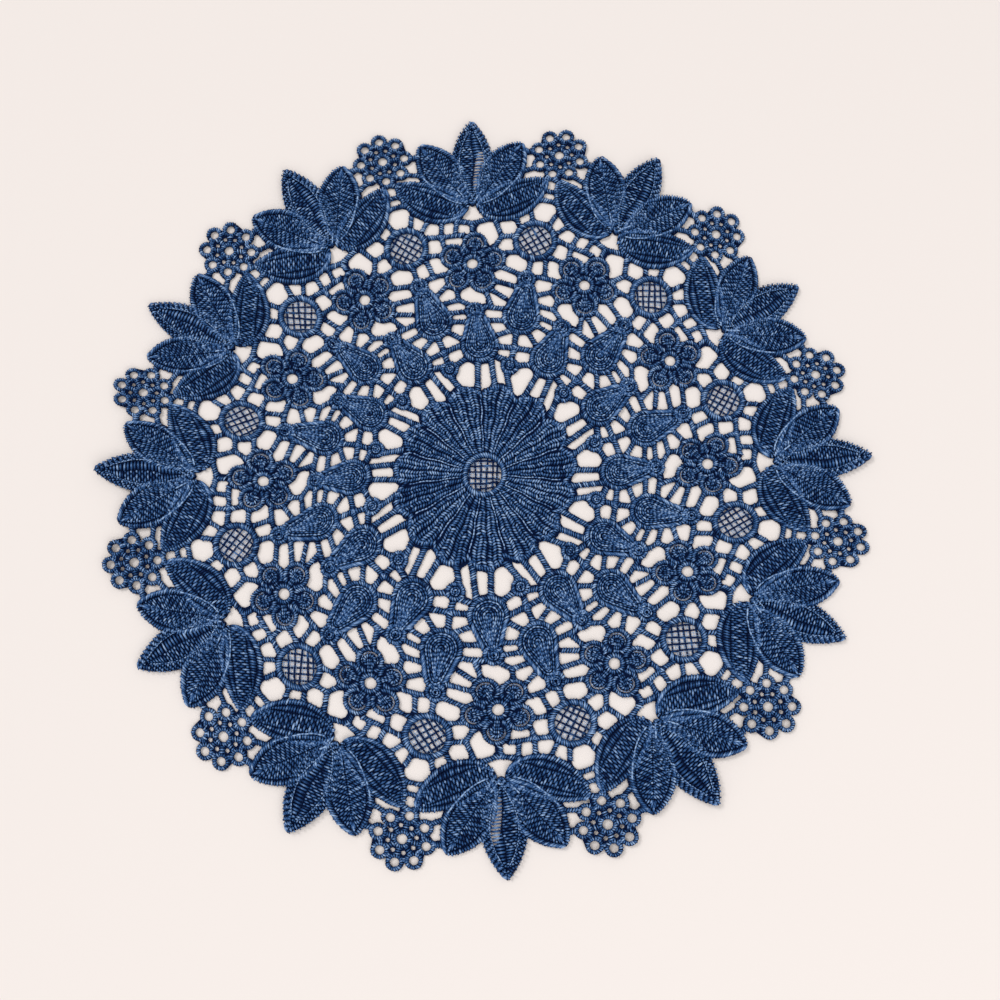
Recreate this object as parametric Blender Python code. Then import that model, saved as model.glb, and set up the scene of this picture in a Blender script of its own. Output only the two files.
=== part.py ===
"""Round lace placemat, about 300 mm across, lying flat: one sheet of stitched lace.

The lace is worked as 12 like repeats round a wavy-edged rosette. Each repeat has a
lotus and a ring cluster at the rim, a netted disc, a five-petal flower, two drops and
a button, tied by short stitched bars. The plan of one repeat is kept in small tables.
The gaps and the rim are found from those tables by walking out from a gap's middle,
or in from outside, until thread is met.

Tables are in millimetres, in a repeat's own frame: y runs outward from the mat's
middle along the lotus's axis, x runs clockwise seen from above. A row with half = 1
is in the frame turned half a repeat further clockwise, on the ring cluster's axis.
"""
import math

import bmesh
import bpy
import numpy as np
from mathutils.geometry import delaunay_2d_cdt

MM = 0.001

# Driving sizes, millimetres and degrees
REPEATS = 12
REPEAT_TURN = 360.0 / REPEATS
HALF_TURN = REPEAT_TURN / 2.0
FIRST_LOTUS = -2.35
BAR_HEIGHT = 1.2
MOTIF_HEIGHT = 1.5
RIM_SEARCH = 160.0
RIM_REACH = 50.0
GAP_REACH = 16.0
# The uneven mat's box is not centred on its rosette: the origin goes to the box's middle
BOX_MIDDLE_X = -0.19
BOX_MIDDLE_Y = 2.47

# Petals of one lotus: a leaf from base to tip, with its half-width on each side
PETAL_COLUMNS = ("name", "base_x", "base_y", "tip_x", "tip_y", "left", "right", "skew", "power")
PETALS = (
    ("lower_left", -1.5, 111.0, -30.6, 122.4, 10.8, 5.5, 0.85, 0.6),
    ("lower_right", 1.5, 111.0, 30.6, 122.4, 5.5, 10.8, 0.85, 0.6),
    ("side_left", -2.0, 113.0, -21.0, 139.3, 7.6, 7.4, 1.2, 0.5),
    ("side_right", 2.0, 113.0, 21.0, 139.3, 7.4, 7.6, 1.2, 0.5),
    ("centre", 0.0, 112.0, 0.3, 150.0, 8.1, 8.1, 1.0, 0.8),
)
PETAL_STEPS = 20

# Round motifs, and drops that taper from one circle to another
DISC_COLUMNS = ("name", "half", "x", "y", "radius")
DISCS = (
    ("net_disc", 1, -1.2, 98.7, 8.9),
    ("inner_ball", 0, -0.3, 66.8, 3.8),
    ("outer_ball", 1, -0.8, 81.8, 3.7),
    ("button", 1, 0.4, 44.8, 3.5),
)
DROP_COLUMNS = ("name", "half", "base_x", "base_y", "base_radius", "neck_x", "neck_y", "neck_radius")
DROPS = (
    ("inner_drop", 0, 0.9, 52.7, 7.4, 0.2, 63.3, 3.8),
    ("outer_drop", 1, 0.6, 65.8, 7.4, 0.0, 77.0, 4.0),
)

# Rings of like discs: a flower's petals round its open heart, and the ring cluster
WREATH_COLUMNS = ("name", "half", "x", "y", "reach", "radius", "turn", "count", "heart")
WREATHS = (
    ("flower", 0, -0.7, 87.1, 8.4, 5.1, 8.0, 5, 0.0),
    ("ring_cluster", 1, 0.0, 137.5, 8.7, 3.2, 6.0, 8, 3.4),
)
FLOWER_HOLE = 2.2
FLOWER_HOLE_CORNERS = 6

# Stitched bars that tie the motifs: two ends and a width
BAR_COLUMNS = ("half", "x0", "y0", "x1", "y1", "width")
BARS = (
    (0, -7.0, 106.0, 0.0, 104.6, 1.9),
    (0, 0.0, 104.6, 6.5, 106.2, 1.9),
    (0, -12.6, 105.0, -12.8, 99.1, 1.7),
    (0, -6.6, 105.0, -7.2, 99.8, 1.7),
    (0, -0.5, 104.5, -0.6, 101.0, 1.6),
    (0, -19.0, 99.3, -12.8, 99.1, 1.8),
    (0, -12.8, 99.1, -3.5, 99.8, 1.7),
    (0, -12.8, 99.1, -11.7, 95.0, 1.7),
    (0, -18.8, 91.3, -12.8, 91.6, 1.6),
    (0, 8.8, 105.4, 11.3, 98.2, 1.8),
    (0, 11.3, 98.2, 16.3, 98.3, 1.7),
    (0, 11.3, 98.2, 8.0, 93.6, 1.8),
    (0, 17.2, 105.8, 18.2, 102.8, 1.8),
    (0, 11.8, 91.2, 17.0, 91.0, 1.5),
    (0, -19.0, 89.3, -16.2, 83.0, 1.7),
    (0, -19.0, 81.6, -11.2, 83.6, 1.7),
    (0, 10.3, 85.4, 18.0, 81.4, 1.8),
    (0, 7.6, 79.5, 17.0, 76.0, 1.8),
    (0, 6.6, 75.5, 12.2, 71.3, 1.7),
    (0, 4.4, 74.6, 6.5, 68.2, 1.7),
    (0, 3.0, 68.6, 10.8, 67.2, 1.8),
    (0, -11.0, 78.4, -15.6, 74.2, 1.7),
    (0, -7.2, 77.2, -6.5, 72.2, 1.7),
    (0, -12.6, 71.0, -6.5, 72.2, 1.7),
    (0, -6.5, 72.2, -2.0, 69.6, 1.7),
    (0, -10.6, 66.8, -3.6, 67.1, 1.7),
    (0, -10.4, 63.2, -3.4, 62.7, 1.7),
    (0, 3.8, 62.9, 11.0, 62.2, 1.8),
    (0, -11.2, 58.9, -6.2, 55.8, 1.8),
    (0, 7.6, 56.2, 13.6, 58.0, 1.8),
    (0, 15.3, 58.3, 14.1, 50.6, 2.1),
    (0, 14.1, 50.6, 7.6, 51.6, 2.1),
    (0, 14.1, 50.6, 20.6, 49.2, 2.1),
    (0, 14.1, 50.6, 12.9, 46.8, 2.2),
    (0, 7.0, 47.6, 10.4, 46.0, 1.9),
    (0, 14.5, 43.4, 20.5, 43.4, 2.1),
    (0, -0.3, 46.4, -0.9, 32.0, 2.1),
    (0, 4.9, 46.6, 6.0, 32.0, 2.1),
    (0, 10.4, 41.0, 11.6, 32.0, 2.1),
    (1, -3.6, 120.9, 3.2, 121.0, 1.6),
    (1, -4.6, 116.8, 3.8, 116.7, 1.7),
    (1, -4.0, 106.8, -5.4, 110.6, 1.7),
    (1, 3.0, 107.0, 4.4, 111.2, 1.7),
    (1, 6.6, 103.6, 9.6, 106.8, 1.5),
    (1, -1.0, 90.4, -0.9, 84.8, 1.9),
    (1, -14.8, 137.0, -10.4, 137.0, 1.9),
    (1, 10.8, 135.7, 14.8, 135.7, 1.8),
    (1, -14.4, 126.6, -8.2, 130.4, 1.8),
    (1, 14.4, 126.8, 7.0, 129.4, 1.6),
    (1, -1.0, 127.0, -3.6, 125.2, 1.8),
    (1, -1.0, 127.0, 2.8, 125.4, 1.8),
)

# The rosette in the middle: its wavy edge is not in step with the repeats
ROSETTE_MEAN = 34.4
ROSETTE_SWING = 2.2
ROSETTE_SCALLOPS = 15
ROSETTE_TURN = 12.35
ROSETTE_ROUNDING = 0.8

# Gaps that are cut through: a point inside each, and the corners its outline keeps
GAP_COLUMNS = ("name", "half", "x", "y", "corners")
GAPS = (
    ("under_lotus", 0, 0.0, 107.6, 3),
    ("crescent", 0, 8.2, 101.0, 6),
    ("disc_left_upper", 1, -12.6, 102.2, 5),
    ("disc_left_lower", 1, -12.0, 95.4, 4),
    ("disc_right_upper", 1, 10.9, 102.8, 5),
    ("disc_right_lower", 1, 9.8, 95.8, 4),
    ("disc_foot_left", 1, -5.8, 87.8, 6),
    ("disc_foot_mid", 1, 2.3, 87.6, 4),
    ("disc_foot_right", 0, -14.0, 87.2, 5),
    ("ball_left", 0, 12.2, 80.4, 5),
    ("ball_right", 0, -15.2, 79.0, 5),
    ("drop_left", 0, 11.0, 75.3, 4),
    ("drop_left_low", 0, 8.2, 71.0, 4),
    ("drop_right", 0, -10.4, 74.2, 5),
    ("under_flower", 0, -1.2, 73.2, 6),
    ("neck_right", 0, 6.8, 65.2, 5),
    ("shoulder_left", 0, -10.8, 55.0, 5),
    ("waist_right", 0, 11.4, 54.2, 4),
    ("waist_left", 0, 17.0, 46.8, 4),
    ("foot_mid", 0, -4.8, 40.0, 5),
    ("foot_right", 0, 2.2, 40.0, 4),
    ("foot_left", 0, 8.4, 41.2, 4),
    ("between_lotuses", 1, -0.8, 112.0, 6),
    ("cluster_side", 1, 10.7, 131.5, 5),
)
GAP_RAYS = 48
RIM_RAYS = 240
RIM_CORNERS = 34

# Crowns, as rings of points on the top: middle, ring radius, points, turn and height
CROWN_COLUMNS = ("name", "half", "x", "y", "reach", "count", "turn", "height")
CROWNS = (
    ("net_cord", 1, -1.2, 98.7, 7.7, 8, 0.0, 2.1),
    ("net", 1, -1.2, 98.7, 5.4, 6, 20.0, 0.9),
    ("inner_ball", 0, -0.3, 66.8, 0.0, 1, 0.0, 2.1),
    ("outer_ball", 1, -0.8, 81.8, 0.0, 1, 0.0, 2.1),
    ("button", 1, 0.4, 44.8, 0.0, 1, 0.0, 2.2),
    ("inner_drop", 0, 0.9, 52.7, 4.4, 5, 0.0, 2.0),
    ("inner_drop_heart", 0, 0.9, 52.7, 0.0, 1, 0.0, 2.4),
    ("inner_drop_neck", 0, 0.4, 61.5, 0.0, 1, 0.0, 2.0),
    ("outer_drop", 1, 0.6, 65.8, 4.4, 5, 0.0, 2.0),
    ("outer_drop_heart", 1, 0.6, 65.8, 0.0, 1, 0.0, 2.4),
    ("outer_drop_neck", 1, 0.1, 74.5, 0.0, 1, 0.0, 2.0),
    ("flower_cores", 0, -0.7, 87.1, 8.6, 5, 8.0, 2.2),
    ("flower_seams", 0, -0.7, 87.1, 7.4, 5, 44.0, 1.3),
    ("cluster_holes", 1, 0.0, 137.5, 8.6, 8, 6.0, 0.8),
    ("cluster_heart", 1, 0.0, 137.5, 0.0, 1, 0.0, 0.8),
    ("cluster_inner", 1, 0.0, 137.5, 5.0, 8, 6.0, 1.9),
)

# Crowns of the lotus petals: share of the length, share of the half-width, height
PETAL_CROWN_COLUMNS = ("name", "along", "across", "height")
PETAL_CROWNS = (
    ("centre", 0.30, -0.80, 2.2),
    ("centre", 0.30, 0.80, 2.2),
    ("centre", 0.55, -0.82, 2.3),
    ("centre", 0.55, 0.82, 2.3),
    ("centre", 0.78, -0.75, 2.2),
    ("centre", 0.78, 0.75, 2.2),
    ("centre", 0.91, 0.00, 2.1),
    ("centre", 0.20, 0.00, 1.7),
    ("centre", 0.42, 0.00, 1.6),
    ("centre", 0.66, 0.00, 1.6),
    ("side_left", 0.55, -0.80, 2.1),
    ("side_left", 0.80, -0.70, 2.1),
    ("side_left", 0.90, 0.25, 2.1),
    ("side_left", 0.64, 0.25, 1.6),
    ("side_right", 0.55, 0.80, 2.1),
    ("side_right", 0.80, 0.70, 2.1),
    ("side_right", 0.90, -0.25, 2.1),
    ("side_right", 0.64, -0.25, 1.6),
    ("lower_left", 0.20, -0.75, 2.0),
    ("lower_left", 0.50, -0.80, 2.1),
    ("lower_left", 0.80, -0.70, 2.0),
    ("lower_left", 0.62, -0.20, 1.5),
    ("lower_right", 0.20, 0.75, 2.0),
    ("lower_right", 0.50, 0.80, 2.1),
    ("lower_right", 0.80, 0.70, 2.0),
    ("lower_right", 0.62, 0.20, 1.5),
)

# Crowns of the rosette: ring radius, height on a wedge's back and in its valley
ROSETTE_CROWN_COLUMNS = ("radius", "back", "valley")
ROSETTE_CROWNS = (
    (12.0, 1.9, 1.6),
    (20.0, 2.1, 1.5),
    (28.0, 2.2, 1.5),
)
EYE_CORD_RADIUS = 7.9
EYE_CORD_HEIGHT = 2.3
EYE_NET_RADIUS = 5.2
EYE_NET_HEIGHT = 0.9
EYE_POINTS = 12

# How unevenly the mat lies: a row per lotus, clockwise from the far side. Slip is
# clockwise, pull is outward, each at the middle circle and at the rim circle. Lift is
# how far the rim stands off the table there: every second lotus touches it.
UNEVEN_COLUMNS = ("slip_mid", "pull_mid", "slip_rim", "pull_rim", "lift")
UNEVEN = (
    (-1.0, 0.9, -0.2, 2.4, 0.0),
    (-0.5, 0.8, 0.1, 2.5, 0.6),
    (0.5, -0.2, 0.8, -1.6, 0.0),
    (0.2, -1.1, -1.6, -0.4, 0.6),
    (-0.6, -1.8, -6.1, -1.9, 0.0),
    (-0.7, -0.3, -5.3, -1.7, 1.3),
    (-0.6, 2.3, -2.6, -1.6, 0.0),
    (1.0, 2.8, 0.4, -0.7, 0.5),
    (1.1, 1.4, 5.3, -2.3, 0.0),
    (0.5, -2.6, 6.8, -0.6, 1.4),
    (0.3, -2.7, -0.6, 1.1, 0.0),
    (-1.3, -1.0, -1.1, 3.2, 0.8),
)
MIDDLE_CIRCLE = 75.0
RIM_CIRCLE = 140.0
LIFT_START = 108.0
LIFT_FULL = 150.0

# How the ray walk goes: its steps, the gap it leaves and the share of the way it takes
WALK_STEPS = 60
WALK_MARGIN = 0.02
WALK_SHARE = 0.9
ROSETTE_STEP = 0.25

# Cut edges are lower between these circles, where the motifs hang on bars
BARS_FROM = 38.0
BARS_TO = 110.0

INSIDE_TRIANGLES = 1
MERGE_DISTANCE = 1e-5
SHARP_ANGLE = 40.0

THREAD_COLOUR = (0.036, 0.063, 0.130, 1.0)
THREAD_ROUGHNESS = 0.85


def row(columns, values):
    """A table row as a dictionary of its named columns."""
    return dict(zip(columns, values))


def rows(columns, table):
    """All rows of a table, each as a dictionary."""
    return [row(columns, values) for values in table]


def turned(x, y, degrees):
    """A point turned clockwise about the mat's middle."""
    angle = math.radians(degrees)
    return (
        x * math.cos(angle) + y * math.sin(angle),
        y * math.cos(angle) - x * math.sin(angle),
    )


def on_ring(x, y, reach, degrees):
    """A point at a reach from a middle, in a direction clockwise from outward."""
    angle = math.radians(degrees)
    return x + reach * math.sin(angle), y + reach * math.cos(angle)


def petal_point(petal, along, across):
    """A point of a petal from its share of the length and of the half-width."""
    span_x = petal["tip_x"] - petal["base_x"]
    span_y = petal["tip_y"] - petal["base_y"]
    length = math.hypot(span_x, span_y)
    side = petal["right"] if across > 0.0 else petal["left"]
    fullness = max(0.0, math.sin(math.pi * along ** petal["skew"])) ** petal["power"]
    offset = across * side * fullness / length
    return (
        petal["base_x"] + span_x * along + span_y * offset,
        petal["base_y"] + span_y * along - span_x * offset,
    )


def petal_outline(petal):
    """The closed outline of a petal, up its right side and down its left."""
    shares = [step / PETAL_STEPS for step in range(PETAL_STEPS + 1)]
    right = [petal_point(petal, share, 1.0) for share in shares]
    left = [petal_point(petal, share, -1.0) for share in reversed(shares[1:-1])]
    return right + left


def thread_shapes():
    """Every shape near one repeat, as tapered strokes: two ends and two radii."""
    strokes = []

    def add(half, x0, y0, r0, x1, y1, r1):
        for neighbour in (-1, 0, 1):
            turn = neighbour * REPEAT_TURN + half * HALF_TURN
            strokes.append((*turned(x0, y0, turn), r0, *turned(x1, y1, turn), r1))

    for disc in rows(DISC_COLUMNS, DISCS):
        add(disc["half"], disc["x"], disc["y"], disc["radius"], disc["x"], disc["y"], disc["radius"])
    for drop in rows(DROP_COLUMNS, DROPS):
        add(drop["half"], drop["base_x"], drop["base_y"], drop["base_radius"],
            drop["neck_x"], drop["neck_y"], drop["neck_radius"])
    for wreath in rows(WREATH_COLUMNS, WREATHS):
        for index in range(wreath["count"]):
            turn = wreath["turn"] + 360.0 / wreath["count"] * index
            x, y = on_ring(wreath["x"], wreath["y"], wreath["reach"], turn)
            add(wreath["half"], x, y, wreath["radius"], x, y, wreath["radius"])
        if wreath["heart"] > 0.0:
            add(wreath["half"], wreath["x"], wreath["y"], wreath["heart"],
                wreath["x"], wreath["y"], wreath["heart"])
    for bar in rows(BAR_COLUMNS, BARS):
        radius = bar["width"] / 2.0
        add(bar["half"], bar["x0"], bar["y0"], radius, bar["x1"], bar["y1"], radius)
    for petal in rows(PETAL_COLUMNS, PETALS):
        outline = petal_outline(petal)
        for start, end in zip(outline, outline[1:] + outline[:1]):
            add(0, *start, 0.0, *end, 0.0)
    return np.array(strokes)


def clearance(points, strokes):
    """The distance from each point to the nearest thread shape."""
    start = strokes[:, 0:2]
    radius0 = strokes[:, 2]
    span = strokes[:, 3:5] - start
    radius1 = strokes[:, 5]
    square = np.maximum((span ** 2).sum(axis=1), 1e-9)
    reach = points[:, None, :] - start[None, :, :]
    share = np.clip((reach * span[None, :, :]).sum(axis=2) / square, 0.0, 1.0)
    offset = reach - share[:, :, None] * span[None, :, :]
    radius = radius0 + share * (radius1 - radius0)
    return (np.hypot(offset[:, :, 0], offset[:, :, 1]) - radius).min(axis=1)


def walk(starts, directions, strokes, limit):
    """How far each ray goes from its start before it meets thread."""
    travelled = np.zeros(len(starts))
    for _ in range(WALK_STEPS):
        points = starts + directions * travelled[:, None]
        free = np.maximum(clearance(points, strokes) - WALK_MARGIN, 0.0)
        travelled = np.minimum(travelled + free * WALK_SHARE, limit)
    return travelled


def rosette_radius(azimuth):
    """The rosette's edge radius at an azimuth clockwise from the first lotus."""
    phase = math.radians((azimuth - ROSETTE_TURN) * ROSETTE_SCALLOPS / 2.0)
    wave = abs(math.cos(phase)) ** ROSETTE_ROUNDING
    return ROSETTE_MEAN + ROSETTE_SWING * (2.0 * wave - 1.0)


def corner_area(before, corner, after):
    """The area that a corner adds to its outline."""
    return abs((corner[0] - before[0]) * (after[1] - before[1])
               - (after[0] - before[0]) * (corner[1] - before[1])) / 2.0


def fewer_corners(outline, count, closed=True):
    """An outline with the least telling corners taken out until a count is left."""
    points = list(outline)
    while len(points) > count:
        inner = range(len(points)) if closed else range(1, len(points) - 1)
        weakest = min(inner, key=lambda i: corner_area(
            points[i - 1], points[i], points[(i + 1) % len(points)]))
        del points[weakest]
    return points


def uneven_value(name, azimuth):
    """A column of the unevenness table, read smoothly round the mat."""
    place = (azimuth / REPEAT_TURN) % REPEATS
    first = int(place)
    share = place - first
    index = UNEVEN_COLUMNS.index(name)
    a, b, c, d = (UNEVEN[(first + step) % REPEATS][index] for step in (-1, 0, 1, 2))
    return 0.5 * (2.0 * b + (c - a) * share + (2.0 * a - 5.0 * b + 4.0 * c - d) * share ** 2
                  + (3.0 * b - a - 3.0 * c + d) * share ** 3)


def laid(x, y, repeat):
    """A plan point of a repeat as it lies on the table, with its slips and pulls."""
    radius = math.hypot(x, y)
    azimuth = math.degrees(math.atan2(x, y)) + repeat * REPEAT_TURN
    outer = min(max((radius - MIDDLE_CIRCLE) / (RIM_CIRCLE - MIDDLE_CIRCLE), 0.0), 1.2)
    inner = min(radius / MIDDLE_CIRCLE, 1.0) * (1.0 - outer)
    slip = inner * uneven_value("slip_mid", azimuth) + outer * uneven_value("slip_rim", azimuth)
    pull = inner * uneven_value("pull_mid", azimuth) + outer * uneven_value("pull_rim", azimuth)
    return turned(slip, radius + pull, azimuth + FIRST_LOTUS)


def lift(x, y):
    """How far the mat's rim stands off the table at a laid point."""
    azimuth = math.degrees(math.atan2(x, y)) - FIRST_LOTUS
    share = (math.hypot(x, y) - LIFT_START) / (LIFT_FULL - LIFT_START)
    share = min(max(share, 0.0), 1.0)
    return max(0.0, uneven_value("lift", azimuth)) * share * share * (3.0 - 2.0 * share)


def gap_outlines():
    """The outline of every gap in all repeats, on the table."""
    strokes = thread_shapes()
    angles = np.radians(np.arange(GAP_RAYS) * 360.0 / GAP_RAYS)
    directions = np.stack([np.sin(angles), np.cos(angles)], axis=1)
    outlines = []
    for gap in rows(GAP_COLUMNS, GAPS):
        seed = np.array(turned(gap["x"], gap["y"], gap["half"] * HALF_TURN))
        starts = np.repeat(seed[None, :], GAP_RAYS, axis=0)
        reach = walk(starts, directions, strokes, GAP_REACH)
        for repeat in range(REPEATS):
            outline = []
            for direction, free in zip(directions, reach):
                outline.append(stop_at_rosette(seed, direction, free, repeat))
            outline = fewer_corners(outline, gap["corners"])
            outlines.append([laid(x, y, repeat) for x, y in outline])
    flower = row(WREATH_COLUMNS, WREATHS[0])
    for repeat in range(REPEATS):
        turns = [360.0 / FLOWER_HOLE_CORNERS * i for i in range(FLOWER_HOLE_CORNERS)]
        ring = [on_ring(flower["x"], flower["y"], FLOWER_HOLE, turn) for turn in turns]
        outlines.append([laid(x, y, repeat) for x, y in ring])
    return outlines


def stop_at_rosette(seed, direction, free, repeat):
    """The end of a free ray, or where it runs into the rosette's wavy edge."""
    travelled = 0.0
    while travelled < free:
        x, y = seed + direction * travelled
        azimuth = math.degrees(math.atan2(x, y)) + repeat * REPEAT_TURN
        if math.hypot(x, y) < rosette_radius(azimuth):
            break
        travelled += ROSETTE_STEP
    travelled = min(travelled, free)
    return seed + direction * travelled


def rim_outline():
    """The mat's outer edge, on the table."""
    strokes = thread_shapes()
    turns = (np.arange(RIM_RAYS) / RIM_RAYS - 0.5) * REPEAT_TURN
    angles = np.radians(turns)
    outward = np.stack([np.sin(angles), np.cos(angles)], axis=1)
    reach = walk(outward * RIM_SEARCH, -outward, strokes, RIM_REACH)
    edge = [tuple(point) for point in outward * (RIM_SEARCH - reach)[:, None]]
    edge = fewer_corners(edge, RIM_CORNERS, closed=False)
    return [laid(x, y, repeat) for repeat in range(REPEATS) for x, y in edge]


def crown_points():
    """Points of the top that stand above or below its edge: x, y and height."""
    points = []
    petals = {petal["name"]: petal for petal in rows(PETAL_COLUMNS, PETALS)}
    for repeat in range(REPEATS):
        for crown in rows(CROWN_COLUMNS, CROWNS):
            for index in range(crown["count"]):
                turn = crown["turn"] + 360.0 / crown["count"] * index
                spot = on_ring(crown["x"], crown["y"], crown["reach"], turn)
                x, y = turned(*spot, crown["half"] * HALF_TURN)
                points.append((*laid(x, y, repeat), crown["height"]))
        for crown in rows(PETAL_CROWN_COLUMNS, PETAL_CROWNS):
            x, y = petal_point(petals[crown["name"]], crown["along"], crown["across"])
            points.append((*laid(x, y, repeat), crown["height"]))
    for ring in rows(ROSETTE_CROWN_COLUMNS, ROSETTE_CROWNS):
        for index in range(2 * ROSETTE_SCALLOPS):
            turn = ROSETTE_TURN + index * 180.0 / ROSETTE_SCALLOPS
            height = ring["valley"] if index % 2 else ring["back"]
            points.append((*laid(*turned(0.0, ring["radius"], turn), 0), height))
    for radius, height in ((EYE_CORD_RADIUS, EYE_CORD_HEIGHT), (EYE_NET_RADIUS, EYE_NET_HEIGHT)):
        for index in range(EYE_POINTS):
            x, y = turned(0.0, radius, index * 360.0 / EYE_POINTS)
            points.append((*laid(x, y, 0), height))
    points.append((0.0, 0.0, EYE_NET_HEIGHT))
    return points


def edge_height(x, y):
    """The height of the cut edges: a little more round the rosette and the lotuses."""
    on_bars = BARS_FROM < math.hypot(x, y) < BARS_TO
    return BAR_HEIGHT if on_bars else MOTIF_HEIGHT


def inside(x, y, outline):
    """Whether a point is within a closed outline."""
    within = False
    for (x0, y0), (x1, y1) in zip(outline, outline[1:] + outline[:1]):
        if (y0 > y) != (y1 > y) and x < x0 + (y - y0) / (y1 - y0) * (x1 - x0):
            within = not within
    return within


def filled_plan(loops, extra):
    """Triangles that fill the outer loop around the inner ones, through extra points."""
    places = [place for loop in loops for place in loop] + [(x, y) for x, y, _ in extra]
    loop_of = [number for number, loop in enumerate(loops) for _ in loop] + [-1] * len(extra)
    edges = []
    first = 0
    for loop in loops:
        count = len(loop)
        edges += [(first + i, first + (i + 1) % count) for i in range(count)]
        first += count
    filled = delaunay_2d_cdt(places, edges, [], INSIDE_TRIANGLES, MERGE_DISTANCE)
    kept = []
    for face in filled[2]:
        owners = {loop_of[i] for i in face}
        middle_x = sum(places[i][0] for i in face) / 3.0
        middle_y = sum(places[i][1] for i in face) / 3.0
        owner = owners.pop()
        in_gap = not owners and owner > 0 and inside(middle_x, middle_y, loops[owner])
        if not in_gap:
            kept.append(face)
    return places, kept


def lace_mesh():
    """The mat's closed mesh: a crowned top, a plain underside and upright edges."""
    loops = [rim_outline()] + gap_outlines()
    crowns = crown_points()
    crown_height = {(round(x, 3), round(y, 3)): height for x, y, height in crowns}
    top_places, top_faces = filled_plan(loops, crowns)
    under_places, under_faces = filled_plan(loops, [])

    mesh = bmesh.new()
    top = []
    for place in top_places:
        x, y = place
        height = crown_height.get((round(x, 3), round(y, 3)), edge_height(x, y))
        top.append(mesh.verts.new((x * MM, y * MM, (height + lift(x, y)) * MM)))
    under = [mesh.verts.new((x * MM, y * MM, lift(x, y) * MM)) for x, y in under_places]
    for face in top_faces:
        mesh.faces.new([top[i] for i in face])
    for face in under_faces:
        mesh.faces.new([under[i] for i in reversed(face)])
    first = 0
    for loop in loops:
        count = len(loop)
        for i in range(count):
            a = first + i
            b = first + (i + 1) % count
            mesh.faces.new([top[a], top[b], under[b], under[a]])
        first += count
    loose = [vert for vert in mesh.verts if not vert.link_faces]
    bmesh.ops.delete(mesh, geom=loose, context="VERTS")
    bmesh.ops.triangulate(mesh, faces=mesh.faces[:])
    bmesh.ops.recalc_face_normals(mesh, faces=mesh.faces[:])
    bmesh.ops.translate(mesh, verts=mesh.verts[:], vec=(-BOX_MIDDLE_X * MM, -BOX_MIDDLE_Y * MM, 0.0))
    return mesh


def thread_material():
    """Dull navy embroidery thread."""
    material = bpy.data.materials.new("navy_thread")
    material.use_nodes = True
    shader = material.node_tree.nodes["Principled BSDF"]
    shader.inputs["Base Color"].default_value = THREAD_COLOUR
    shader.inputs["Roughness"].default_value = THREAD_ROUGHNESS
    shader.inputs["Metallic"].default_value = 0.0
    material.diffuse_color = THREAD_COLOUR
    return material


def main():
    for item in list(bpy.data.objects):
        bpy.data.objects.remove(item, do_unlink=True)
    collection = bpy.data.collections.new("lace_placemat")
    bpy.context.scene.collection.children.link(collection)
    built = lace_mesh()
    data = bpy.data.meshes.new("lace_mat")
    built.to_mesh(data)
    built.free()
    mat = bpy.data.objects.new("lace_mat", data)
    mat.data.materials.append(thread_material())
    collection.objects.link(mat)
    data.shade_smooth()
    data.set_sharp_from_angle(angle=math.radians(SHARP_ANGLE))


main()
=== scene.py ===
"""The looks of the round lace placemat: every stitch as thread over a thin ground, coloured near-black as
painted shade between the stitches.

Lengths are in millimetres in a repeat's own frame, as in the CAD model: y runs outward
from the mat's middle along the lotus's axis and x runs clockwise. A row with half = 1 is
in the frame turned half a repeat further, on the ring cluster's axis. laid() takes such
a point to where it lies on the table, and to_frame() from there to the shared frame.
"""
import math

import bpy
import numpy as np
from mathutils.geometry import delaunay_2d_cdt
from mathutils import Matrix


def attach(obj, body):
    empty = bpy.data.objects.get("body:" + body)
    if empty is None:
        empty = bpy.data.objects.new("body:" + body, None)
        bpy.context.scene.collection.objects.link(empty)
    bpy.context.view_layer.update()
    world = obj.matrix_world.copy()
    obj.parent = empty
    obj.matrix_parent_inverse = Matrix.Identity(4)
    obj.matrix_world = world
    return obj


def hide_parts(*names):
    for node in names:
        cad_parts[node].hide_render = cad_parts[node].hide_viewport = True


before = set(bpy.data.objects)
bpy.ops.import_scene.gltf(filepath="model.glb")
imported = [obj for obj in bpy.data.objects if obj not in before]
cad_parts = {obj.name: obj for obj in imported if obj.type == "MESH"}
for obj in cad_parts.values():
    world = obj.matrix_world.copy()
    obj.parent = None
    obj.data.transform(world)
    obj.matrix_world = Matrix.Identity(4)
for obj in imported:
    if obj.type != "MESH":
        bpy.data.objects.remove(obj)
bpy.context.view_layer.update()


def rows(columns, table):
    """All rows of a table, each as a dictionary of its named columns."""
    return [dict(zip(columns, values)) for values in table]


MM = 0.001
SEED = 12

REPEATS = 12
REPEAT_TURN = 360.0 / REPEATS
HALF_TURN = REPEAT_TURN / 2.0
FIRST_LOTUS = -2.35
# The uneven mat's box is not centred on its rosette: the origin goes to the box's middle
BOX_MIDDLE_X = -0.19
BOX_MIDDLE_Y = 2.47

# Petals of one lotus: a leaf from base to tip, with its half-width on each side. The side
# petals are a little more pointed than in the CAD model.
PETALS = rows(("name", "base_x", "base_y", "tip_x", "tip_y", "left", "right", "skew", "power"), (
    ("lower_left", -1.5, 111.0, -30.6, 122.4, 10.8, 5.5, 0.85, 0.6),
    ("lower_right", 1.5, 111.0, 30.6, 122.4, 5.5, 10.8, 0.85, 0.6),
    ("side_left", -2.0, 113.0, -20.9, 139.4, 8.4, 8.5, 1.15, 0.7),
    ("side_right", 2.0, 113.0, 20.9, 139.4, 8.5, 8.4, 1.15, 0.7),
    ("centre", 0.0, 112.0, 0.3, 150.0, 8.1, 8.1, 1.0, 0.8),
))
PETAL_STEPS = 48
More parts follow.
